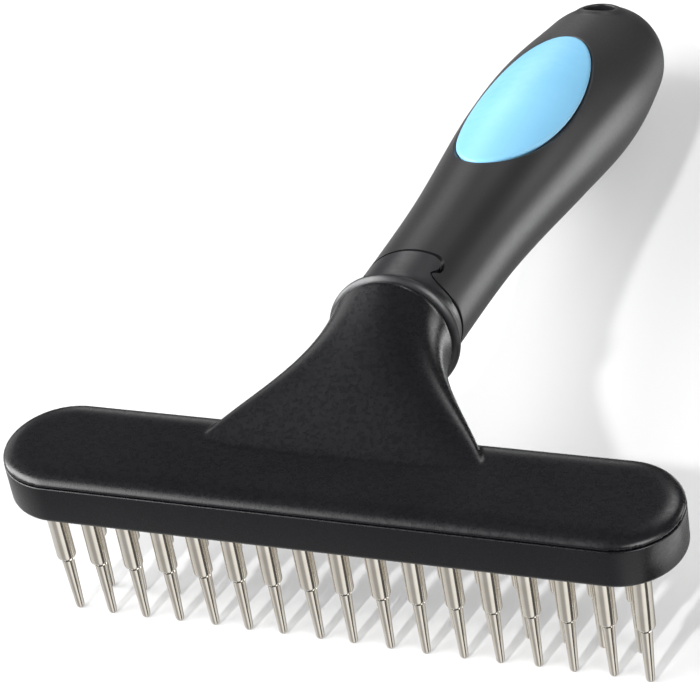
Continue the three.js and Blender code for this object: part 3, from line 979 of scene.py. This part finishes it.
class Look:
    """A principled material and short ways to add nodes to it."""

    def __init__(self, name, **sockets):
        self.material = bpy.data.materials.new(name)
        self.material.use_nodes = True
        self.nodes = self.material.node_tree.nodes
        self.links = self.material.node_tree.links
        self.shader = self.nodes["Principled BSDF"]
        for socket, value in sockets.items():
            self.shader.inputs[socket.replace("_", " ")].default_value = value
        self.where = self.nodes.new("ShaderNodeTexCoord").outputs["Object"]

    def node(self, kind, **settings):
        made = self.nodes.new("ShaderNode" + kind)
        for key, value in settings.items():
            if key in made.inputs:
                made.inputs[key].default_value = value
            else:
                setattr(made, key, value)
        return made

    def noise(self, scale, detail=2.0, roughness=0.5, stretch=None):
        made = self.node("TexNoise", Scale=scale, Detail=detail, Roughness=roughness)
        if stretch:
            mapping = self.node("Mapping")
            mapping.inputs["Scale"].default_value = stretch
            self.links.new(self.where, mapping.inputs["Vector"])
            self.links.new(mapping.outputs["Vector"], made.inputs["Vector"])
        else:
            self.links.new(self.where, made.inputs["Vector"])
        return made.outputs["Fac"]

    def range(self, value, low, high, from_low=0.3, from_high=0.7):
        made = self.node("MapRange")
        made.inputs["From Min"].default_value = from_low
        made.inputs["From Max"].default_value = from_high
        made.inputs["To Min"].default_value = low
        made.inputs["To Max"].default_value = high
        self.links.new(value, made.inputs["Value"])
        return made.outputs["Result"]

    def blend(self, share, first, second):
        """A colour between two, by share."""
        made = self.node("Mix", data_type="RGBA")
        ends = {"A": (*first, 1), "B": (*second, 1)}
        for socket in made.inputs:
            if socket.type == "RGBA":
                socket.default_value = ends[socket.name]
        self.links.new(share, made.inputs["Factor"])
        return next(o for o in made.outputs if o.type == "RGBA")

    def color(self, value):
        self.links.new(value, self.shader.inputs["Base Color"])

    def roughness(self, value):
        self.links.new(value, self.shader.inputs["Roughness"])

    def bump(self, height, distance, strength):
        """A bump over a distance in millimetres."""
        made = self.node("Bump", Strength=strength, Distance=distance * MM)
        self.links.new(height, made.inputs["Height"])
        self.links.new(made.outputs["Normal"], self.shader.inputs["Normal"])


def moulded(name, cloud, colors, grain, rough, relief, **sockets):
    """A moulded material: a broad cloud between two colours, a fine roughness and a fine relief. cloud
    and grain are (noise scale, detail), relief is (scale, detail, distance in mm, strength)."""
    look = Look(name, **sockets)
    look.color(look.blend(look.range(look.noise(*cloud), 0, 1), *colors))
    look.roughness(look.range(look.noise(*grain), *rough))
    scale, detail, distance, strength = relief
    look.bump(look.noise(scale, detail), distance, strength)
    return look


def black_abs():
    colors = (0.0014, 0.0014, 0.002), (0.0024, 0.0023, 0.003)
    relief = (3600, 1, 0.045, 0.2)
    sockets = {"IOR": 1.45, "Specular_IOR_Level": 0.42}
    look = moulded("black_abs_satin", (60, 3), colors, (1100, 3), (0.24, 0.32), relief, **sockets)
    return look.material


def grey_abs():
    colors = (0.007, 0.007, 0.008), (0.010, 0.0098, 0.011)
    relief = (2900, 1, 0.045, 0.3)
    sockets = {"IOR": 1.45, "Specular_IOR_Level": 0.5}
    look = moulded("charcoal_abs_satin", (80, 3), colors, (1100, 3), (0.28, 0.37), relief, **sockets)
    return look.material


def soft_rubber():
    colors = (0.0042, 0.004, 0.0046), (0.0062, 0.0059, 0.0066)
    relief = (2900, 1, 0.045, 0.32)
    sockets = {"IOR": 1.45, "Specular_IOR_Level": 0.34, "Sheen_Weight": 0.02}
    look = moulded("soft_touch_rubber", (45, 3), colors, (1500, 2), (0.34, 0.4), relief, **sockets)
    look.shader.inputs["Sheen Roughness"].default_value = 0.5
    return look.material


def blue_inlay():
    colors = (0.112, 0.275, 0.405), (0.122, 0.29, 0.425)
    relief = (3000, 2, 0.012, 0.15)
    sockets = {"IOR": 1.47, "Specular_IOR_Level": 0.25, "Coat_Weight": 0.1}
    look = moulded("light_blue_gloss", (70, 2), colors, (500, 3), (0.3, 0.4), relief, **sockets)
    look.shader.inputs["Coat Roughness"].default_value = 0.25
    return look.material


def natural_nylon():
    colors = (0.62, 0.6, 0.53), (0.7, 0.68, 0.62)
    relief = (2500, 2, 0.02, 0.2)
    return moulded("natural_nylon", (90, 3), colors, (800, 2), (0.5, 0.65), relief, IOR=1.5).material


def pin_steel():
    look = Look("nickelled_steel", Metallic=1.0, Anisotropic=0.2)
    rings = look.noise(100, 4, 0.6, stretch=(0.02, 0.02, 20.0))
    cloud = look.noise(260, 3)
    look.color(look.blend(look.range(cloud, 0, 1), (0.70, 0.65, 0.57), (0.76, 0.72, 0.65)))
    look.roughness(look.range(rings, 0.08, 0.14))
    look.bump(rings, 0.002, 0.15)
    return look.material


def paper_floor():
    """Pale paper with some emission of its own, so that it reads white under the one sun."""
    look = Look("white_sweep", Roughness=0.9, IOR=1.3)
    colors = (0.275, 0.275, 0.277), (0.285, 0.285, 0.285)
    look.color(look.blend(look.range(look.noise(8, 2), 0, 1), *colors))
    look.bump(look.noise(900, 2), 0.03, 0.05)
    look.shader.inputs["Emission Color"].default_value = (1, 1, 1, 1)
    look.shader.inputs["Emission Strength"].default_value = 0.31
    return look.material


# ---- the pieces, on their bodies ----

BLACK = black_abs()


def finish_piece(piece, material, nodes, degrees=40):
    piece.data.materials.clear()
    piece.data.materials.append(material)
    smooth_shading(piece, degrees)
    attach(piece, "root")
    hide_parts(*nodes)


finish_piece(head_shell(), BLACK, ["head_shell_with_neck"], 75)
finish_piece(pin_plate(), BLACK, ["pin_plate"], 30)
finish_piece(collar_and_core(), grey_abs(), ["handle_core_with_collar"], 50)
finish_piece(soft_grip(), soft_rubber(), ["soft_grip"], 50)
finish_piece(oval_inlay(), blue_inlay(), ["oval_inlay"], 50)
place_pins(pin_steel())

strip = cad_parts["pin_retainer_strip"]
strip.data.materials.clear()
strip.data.materials.append(natural_nylon())

# ---- floor, light, camera ----


FLOOR_REACH = 6.0
FLOOR_GAP = 0.0001  # under the pins' tips


def rectangle(width, length):
    """The corners of a level rectangle round the origin."""
    x, y = width / 2, length / 2
    return [(-x, -y, 0), (x, -y, 0), (x, y, 0), (-x, y, 0)]


def make_floor():
    mesh = bpy.data.meshes.new("floor")
    mesh.from_pydata(rectangle(2 * FLOOR_REACH, 2 * FLOOR_REACH), [], [(0, 1, 2, 3)])
    mesh.materials.append(paper_floor())
    floor = new_object("floor", mesh)
    floor.location.z = -FLOOR_GAP
    floor.visible_glossy = False


SUN_ENERGY = 4.6
SUN_SPREAD = 3.0  # degrees across
SUN_PLACE = (-0.17, -0.75, 0.64)  # the direction it shines from


def make_sun(name, energy, spread, place):
    """A light from far away, whose shadows fall on the floor. Reflections don't show it."""
    lamp = bpy.data.lights.new(name, "SUN")
    lamp.energy = energy
    lamp.angle = math.radians(spread)
    holder = new_object(name, lamp)
    holder.rotation_mode = "QUATERNION"
    holder.rotation_quaternion = Vector(place).to_track_quat("Z", "Y")
    holder.visible_glossy = False


def make_card(name, middle, size, strength):
    """A lit level card, in metres, that the camera, diffuse light and shadows don't see."""
    mesh = bpy.data.meshes.new(name)
    mesh.from_pydata(rectangle(*size), [], [(0, 1, 2, 3)])
    material = bpy.data.materials.new(name)
    material.use_nodes = True
    nodes = material.node_tree.nodes
    nodes.remove(nodes["Principled BSDF"])
    glow = nodes.new("ShaderNodeEmission")
    glow.inputs["Strength"].default_value = strength
    material.node_tree.links.new(glow.outputs[0], nodes["Material Output"].inputs["Surface"])
    material.cycles.emission_sampling = "NONE"
    mesh.materials.append(material)
    card = new_object(name, mesh)
    card.location = middle
    card.visible_camera = card.visible_diffuse = card.visible_shadow = False


def make_cards():
    """Two cards just under the floor, beside the bar's +X end and beside the grip."""
    make_card("end_card", (0.135, -0.0925, -0.001), (0.075, 0.065), 3.0)
    make_card("grip_card", (0.085, 0.1, -0.001), (0.07, 0.095), 5.0)


def toward(azimuth, elevation):
    """A unit vector. Azimuth 0 is +Y and 90 is +X."""
    az, el = math.radians(azimuth), math.radians(elevation)
    return (math.sin(az) * math.cos(el), math.cos(az) * math.cos(el), math.sin(el))


# the big window-shaped box at the left: the planes through its right and its front edge, as unit
# vectors that point into it, and its strength
WINDOW_RIGHT = (-0.432, -0.887, -0.164)
WINDOW_FRONT = (-0.948, 0.195, -0.249)
WINDOW_STRENGTH = 15.0
AMBIENT = 0.16

# soft boxes at infinity: azimuth, elevation, radius that is fully lit, radius where it ends, strength
BOXES = (
    (8, 43, 3, 11, 6.0),
    (46, 15, 4, 14, 6.0),
    (38, -22, 4, 14, 4.5),
    (105, 10, 5, 25, 2.0),
    (128, 38, 8, 26, 9.0),
    (-22, 14, 4, 12, 1.6),
    (-58, 12, 5, 22, 1.2),
    (-86, 7, 4, 14, 14.0),
)

# how bright it is below the horizon, by azimuth
BELOW = (
    (-180, 0.45), (-150, 0.45), (-130, 0.72), (-100, 0.8), (-70, 0.75), (-25, 0.6), (-5, 0.3),
    (20, 0.35), (40, 0.6), (62, 0.85), (92, 0.95), (98, 0.1), (125, 0.1), (131, 1.15), (158, 1.05),
    (168, 0.8), (177, 0.45),
)


def make_world():
    """A dim studio with soft boxes. Below the horizon the brightness goes by azimuth, with one dark
    upright band, which the polished pins pick up."""
    world = bpy.data.worlds.new("studio")
    bpy.context.scene.world = world
    world.use_nodes = True
    nodes, links = world.node_tree.nodes, world.node_tree.links
    where = nodes.new("ShaderNodeTexCoord").outputs["Generated"]

    def ranged(value, from_low, from_high, low, high, kind="SMOOTHSTEP"):
        made = nodes.new("ShaderNodeMapRange")
        made.interpolation_type = kind
        names = ("From Min", "From Max", "To Min", "To Max")
        for name, number in zip(names, (from_low, from_high, low, high)):
            made.inputs[name].default_value = number
        links.new(value, made.inputs["Value"])
        return made.outputs["Result"]

    def combined(operation, first, second):
        made = nodes.new("ShaderNodeMath")
        made.operation = operation
        for socket, value in zip(made.inputs, (first, second)):
            links.new(value, socket)
        return made.outputs[0]

    def dotted(direction):
        dot = nodes.new("ShaderNodeVectorMath")
        dot.operation = "DOT_PRODUCT"
        dot.inputs[1].default_value = direction
        links.new(where, dot.inputs[0])
        return dot.outputs["Value"]

    split = nodes.new("ShaderNodeSeparateXYZ")
    links.new(where, split.inputs[0])
    across, away, up = split.outputs
    total = ranged(up, -0.1, 0.1, 0.0, AMBIENT)
    for azimuth, elevation, full, end, strength in BOXES:
        low, high = math.cos(math.radians(end)), math.cos(math.radians(full))
        box = ranged(dotted(toward(azimuth, elevation)), low, high, 0.0, strength)
        total = combined("ADD", total, box)

    window = ranged(dotted(WINDOW_RIGHT), 0.08, 0.16, 0.0, 1.0)
    front = ranged(dotted(WINDOW_FRONT), 0.04, 0.24, 0.0, WINDOW_STRENGTH)
    window = combined("MULTIPLY", window, front)
    window = combined("MULTIPLY", window, ranged(up, 0.2, 0.5, 0.1, 1.0))
    window = combined("MULTIPLY", window, ranged(up, -0.1, 0.0, 0.0, 1.0))
    window = combined("MULTIPLY", window, ranged(up, 0.76, 0.93, 1.0, 0.12))
    total = combined("ADD", total, window)

    angle = ranged(combined("ARCTAN2", across, away), -math.pi, math.pi, 0.0, 1.0, "LINEAR")
    ramp_node = nodes.new("ShaderNodeValToRGB")
    ramp = ramp_node.color_ramp
    for _ in BELOW[2:]:
        ramp.elements.new(0.5)
    for element, (azimuth, grey) in zip(ramp.elements, BELOW):
        element.position = (azimuth + 180) / 360
        element.color = (grey, grey, grey, 1)
    links.new(angle, ramp_node.inputs["Fac"])
    below = combined("MULTIPLY", ramp_node.outputs["Color"], ranged(up, -0.3, -0.16, 1.0, 0.0))
    background = nodes["Background"]
    links.new(combined("ADD", total, below), background.inputs["Color"])


CAMERA_PLACE = (0.166504, -0.430890, 0.335324)
CAMERA_AZIMUTH = 25.068
CAMERA_ELEVATION = 35.626
CAMERA_ROLL = 10.185
CAMERA_LENS = 139.83


def make_camera():
    az, el = math.radians(CAMERA_AZIMUTH), math.radians(CAMERA_ELEVATION)
    roll = math.radians(CAMERA_ROLL)
    ahead = Vector((-math.sin(az) * math.cos(el), math.cos(az) * math.cos(el), -math.sin(el)))
    right = Vector((math.cos(az), math.sin(az), 0))
    down = ahead.cross(right)
    turned_right = right * math.cos(roll) + down * math.sin(roll)
    turned_down = down * math.cos(roll) - right * math.sin(roll)
    axes = Matrix((turned_right, -turned_down, -ahead)).transposed()
    data = bpy.data.cameras.new("camera")
    data.sensor_width = 36
    data.lens = CAMERA_LENS
    data.clip_start = 0.01
    camera = new_object("camera", data)
    camera.matrix_world = Matrix.Translation(CAMERA_PLACE) @ axes.to_4x4()
    bpy.context.scene.camera = camera


make_floor()
make_sun("key", SUN_ENERGY, SUN_SPREAD, SUN_PLACE)
make_cards()
make_world()
make_camera()
bpy.context.scene.view_settings.view_transform = "Standard"
